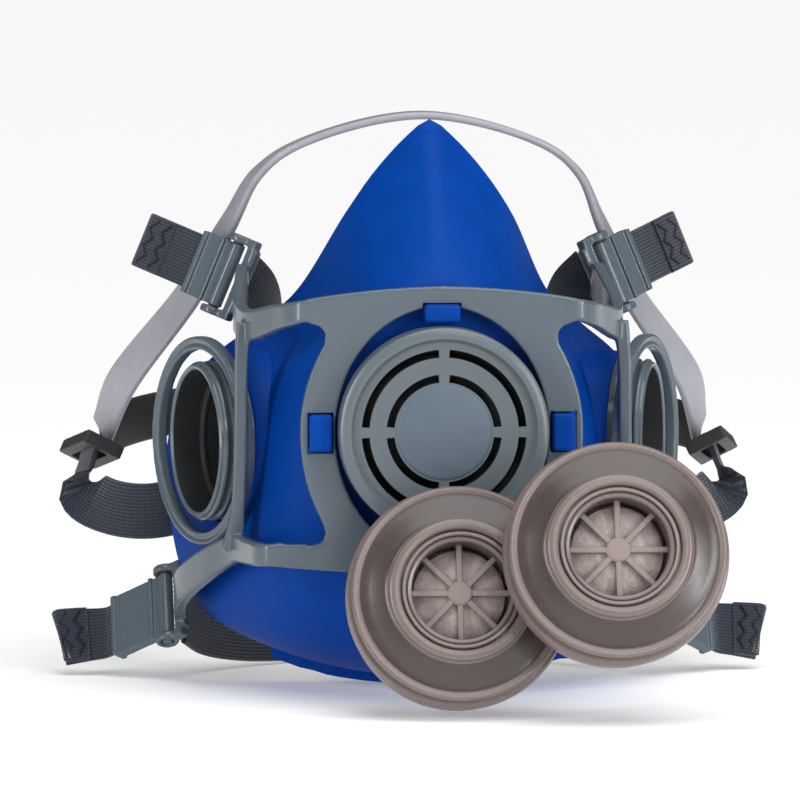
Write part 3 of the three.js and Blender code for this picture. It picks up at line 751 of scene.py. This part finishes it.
# ---- straps ----------------------------------------------------------------------------------
UPPER_STRAP = [
    ((81, 122.8, 58.7), (0, 0.9, 0.3)), ((83, 121.3, 54.3), (0, 0.9, 0.3)),
    ((84.6, 117.5, 46.5), (0, 0.8, 0.6)),
    ((78.5, 110, 42.5), (0, 0.2, 1)), ((66, 101, 42), (0, 0.1, 1)), ((53, 98, 47), (0.5, 0.2, 0.8)),
    ((44, 94, 61), (0.8, 0.5, 0.2)), ((38.5, 89, 78), (0.3, 0.95, 0.1)), ((36, 86, 90), (-0.1, 0.85, 0.5)),
    ((39.5, 82.5, 99), (-0.35, 0.6, 0.72)), ((45.2, 79.8, 105), (-0.4, 0.5, 0.77)),
]
NECK_STRAP = [((60.8, 86, 15.5), (0, 0.5, 0.85)), ((54, 97, 11.5), (0, 0.2, 1)), ((42, 110, 8.6), (0, 0, 1)),
              ((27, 121.5, 7.6), (0, 0, 1)), ((10.5, 128.4, 7.6), (0, 0, 1))]


def add_straps(side, name):
    for kind, route in (("upper_strap", UPPER_STRAP), ("neck_strap", NECK_STRAP)):
        points, faces, uvs = strip_data([station(side, at, across) for at, across in route], STRAP_THICKNESS)
        band = build(f"{name}_{kind}_webbing", points, faces, WEBBING, uvs)
        body = "neck_half" if (kind, name) == ("neck_strap", "right") else "mask"
        settle(band, body, "webbing", f"{name}_{kind}")


def add_neck_clip():
    here = Matrix.Identity(4)
    hook = join(box_data((5.4, 2.6, 15.4), here, (-7, 130.8, 8)),
                box_data((12.4, 2, 8), here, (-1.3, 130.5, 8)),
                box_data((2.6, 5, 5), here, (2.6, 133.4, 8)))
    settle(mould("neck_clip_tongue", hook, CLIP_BLACK, 0.25, 3), "mask", "clip_plastic", "neck_clip_hook")
    loop = join(box_data((15, 2.2, 3.2), here, (2.2, 133.2, 14.1)),
                box_data((15, 2.2, 3.2), here, (2.2, 133.2, 1.9)),
                box_data((1.6, 2.2, 15.4), here, (-4.5, 133.2, 8)),
                box_data((3.4, 2.2, 15.4), here, (8, 133.2, 8)),
                box_data((3, 2.6, 15.4), here, (9.2, 131.6, 8)))
    settle(mould("neck_clip_frame", loop, CLIP_BLACK, 0.25, 3), "neck_half", "clip_plastic", "neck_clip_loop")


# ---- head cradle -----------------------------------------------------------------------------
HOOP = [((79, 124, 61.5), (0.3, 0.5, 0.8)), ((74.6, 111, 75), (0.55, 0.65, 0.5)),
        ((57.7, 98, 99), (0.45, 0.85, 0.3)), ((48.2, 85, 117.8), (0.2, 0.95, 0.1)),
        ((41.3, 76, 131), (0.1, 1, 0)), ((31, 70.5, 138.8), (0, 1, 0))]
HOOP_TOP = (0, 67.5, 146.2)
SLOT = (82, 122, 56.5)
REAR_BAND = [(79, 124, 61), (66, 141, 63.6), (46, 153, 66), (22, 160, 68)]
REAR_MIDDLE = (0, 162, 68.5)


def add_cradle():
    hoop = [station(-1, at, across, 10) for at, across in HOOP] + [station(1, HOOP_TOP, (0, 1, 0), 9)]
    hoop += [station(1, at, across, 10) for at, across in reversed(HOOP)]
    points, faces, uvs = strip_data(hoop, 2, 14)
    settle(build("cradle_hoop", points, faces, CRADLE_GREY, uvs), "cradle", "cradle_plastic", "head_cradle")
    level = (0, 0.2, 1)
    band = [station(-1, at, level, 12) for at in REAR_BAND] + [station(1, REAR_MIDDLE, level, 12)]
    band += [station(1, at, level, 12) for at in reversed(REAR_BAND)]
    points, faces, uvs = strip_data(band, 2.2, 14)
    # the rear band takes the cradle plastic's painted-shade copy
    settle(build("cradle_rear_band", points, faces, CRADLE_PAINTED_SHADE, uvs), "cradle", "cradle_plastic")
    for name, side in SIDES.items():
        place = frame_at((side * SLOT[0], SLOT[1], SLOT[2]), (side * 0.4, -0.3, -0.87), (0, 0.9, 0.3))
        loops = [box_data((3.2, 21, 3.6), place, (x, 0, 0)) for x in (-3.9, 3.9)]
        loops += [box_data((11, 2.2, 3.6), place, (0, y, 0)) for y in (-9.4, 9.4)]
        end = mould(f"cradle_{name}_slot", join(*loops), CRADLE_PAINTED_SHADE, 0.3, 4)
        settle(end, "cradle", "cradle_plastic")


# ---- filters ---------------------------------------------------------------------------------
LEAN_UP, LEAN_COS = math.sin(FILTER_LEAN), math.cos(FILTER_LEAN)
FILTER_OUT = Vector((0, -LEAN_COS, LEAN_UP))
FILTER_RADIUS, FILTER_DEPTH, BOSS_HEIGHT = 28, 16, 4
LEFT_CENTRE = Vector((1.6, -24.8, FILTER_RADIUS * LEAN_COS + FILTER_DEPTH * LEAN_UP))
STACK = FILTER_DEPTH + BOSS_HEIGHT + 0.5
IN_PLANE = (12.1 - STACK * LEAN_UP) / LEAN_COS
RIGHT_CENTRE = LEFT_CENTRE + FILTER_OUT * STACK + Vector((37.4, IN_PLANE * LEAN_UP, IN_PLANE * LEAN_COS))


def add_filter(centre, name):
    place = frame_at(centre, FILTER_OUT)
    body = f"{name}_filter"
    shell = [(12.3, -6.6), (12.3, 2.3), (12.6, 2.8), (13.1, 3), (13.5, 2.8), (13.6, 1.9), (15.2, 1.9),
             (15.3, 3.5), (15.6, 3.9), (16.2, 4), (17.3, 4), (17.8, 3.7), (18.1, 2.5), (18.5, 2.1),
             (19.2, 1.9), (22.5, 0.55), (24.4, -0.35), (25, -0.4), (25.3, -0.1), (25.6, 0.05),
             (26.6, 0), (27, -0.4), (27, -2.4), (26.7, -2.8), (25.6, -2.9), (25.6, -4.2), (24.6, -4.2),
             (24.6, -6.6)]
    housing = lathe(f"{name}_filter_shell", shell, place, TAUPE, 160)
    housing.data.materials.append(TAUPE_DARKER_AND_PAINTED_SHADE)
    # faces that take the darker copy: the sloping face ring is darker; the recess and the side groove carry
    # painted shade
    for face in housing.data.polygons:
        local = place.inverted() @ (TO_FRAME.inverted() @ face.center)
        radius = math.hypot(local.x, local.y)
        face_ring = 18.6 < radius < 25.1 and local.z > -1
        recess = radius < 12.4
        groove = 25.5 < radius < 26.6 and local.z < -2.6
        if face_ring or recess or groove:
            face.material_index = 1
    settle(housing, body, "filter_plastic", f"{name}_filter_housing")
    grille = join(spokes_data(8, 2.4, 13, 1.5, -2.6, -1.1, place),
                  lathe_data([(0, -2.6), (3.2, -2.6), (3.2, -1.2), (2.8, -0.8), (0, -0.7)], place, 48))
    settle(bevel(build(f"{name}_filter_grille", *grille, MEDIA_SMOOTH), 0.3, 3), body, "filter_plastic")
    gasket = [(13.8, 2.2), (14.85, 2.2), (14.85, 3.2), (14.6, 3.5), (14, 3.5), (13.8, 3.2)]
    settle(lathe(f"{name}_filter_seal", gasket, place, TAUPE), body, "filter_rubber", f"{name}_filter_gasket")
    media = [(0, -13.4), (24.2, -13.4), (24.2, -7), (12.1, -6.9), (11.4, -4.4), (9.5, -3.3), (5, -2.7),
             (0, -2.65)]
    settle(lathe(f"{name}_filter_pad", media, place, MEDIA), body, "filter_media", f"{name}_filter_media")
    cover = [(0, -16), (25, -16), (26.4, -15.6), (27, -14.8), (27.1, -9.6), (27.5, -9.2), (28, -8.8),
             (28, -5.4), (27.6, -4.7), (26.9, -4.4), (24.9, -4.4), (24.9, -13.7), (0, -13.7)]
    settle(lathe(f"{name}_filter_can", cover, place, TAUPE, 160), body, "filter_plastic",
           f"{name}_filter_cover")


# ---- assembly --------------------------------------------------------------------------------
add_facepiece()
add_outer_frame()
add_valve()
for name, side in SIDES.items():
    add_port(side, name)
    add_buckle(side, UPPER_BAR, f"{name}_upper")
    add_buckle(side, LOWER_BAR, f"{name}_lower")
    add_straps(side, name)
add_neck_clip()
add_cradle()
add_filter(LEFT_CENTRE, "left")
add_filter(RIGHT_CENTRE, "right")

# ---- stage -----------------------------------------------------------------------------------
def add_floor():
    mesh = bpy.data.meshes.new("floor")
    reach, sunk = 40, -0.2 * MM
    corners = [(-reach, -reach, sunk), (reach, -reach, sunk),
               (reach, 2 * reach, sunk), (-reach, 2 * reach, sunk)]
    mesh.from_pydata(corners, [], [(0, 1, 2, 3)])
    pale = material("floor", linear(247, 247, 247), 0.95, spread=0.0, bump=0.0, Specular_IOR_Level=0.0,
                    Emission_Color=(1, 1, 1, 1), Emission_Strength=0.24)
    add_object("floor", mesh, [pale])


def add_sun(name, direction, strength, spread):
    lamp = bpy.data.lights.new(name, "SUN")
    lamp.energy = strength
    lamp.angle = math.radians(spread)
    obj = bpy.data.objects.new(name, lamp)
    obj.location = direction
    aim(obj, (0, 0, 0))
    bpy.context.scene.collection.objects.link(obj)


def add_world(fill_strength, backdrop_strength):
    """A weak white fill light, and a white backdrop where the camera looks past the floor."""
    world = bpy.data.worlds.new("studio")
    world.use_nodes = True
    nodes, links = world.node_tree.nodes, world.node_tree.links
    fill, backdrop = nodes["Background"], nodes.new("ShaderNodeBackground")
    for node, strength in ((fill, fill_strength), (backdrop, backdrop_strength)):
        node.inputs["Color"].default_value = (1, 1, 1, 1)
        node.inputs["Strength"].default_value = strength
    rays, mix = nodes.new("ShaderNodeLightPath"), nodes.new("ShaderNodeMixShader")
    links.new(rays.outputs["Is Camera Ray"], mix.inputs[0])
    links.new(fill.outputs[0], mix.inputs[1])
    links.new(backdrop.outputs[0], mix.inputs[2])
    links.new(mix.outputs[0], nodes["World Output"].inputs["Surface"])
    bpy.context.scene.world = world


add_floor()
add_sun("overhead", (0.35, -0.75, 2.0), 2.1, 55)
add_light("left_strip", (-0.95, -0.75, 0.3), (0, 0, 0.07), (0.14, 0.7), 6)
add_light("right_strip", (0.9, -0.9, 0.3), (0, 0, 0.07), (0.14, 0.7), 6)
add_light("front_strip", (0.3, -1.6, 0.9), (0, 0, 0.1), (0.2, 0.5), 3)
add_light("filter_glint", (0.95, -1.75, 0.35), (0.04, -0.1, 0.04), (0.3, 0.3), 4)
add_world(0.13, 1.0)
bpy.context.scene.view_settings.view_transform = "Standard"
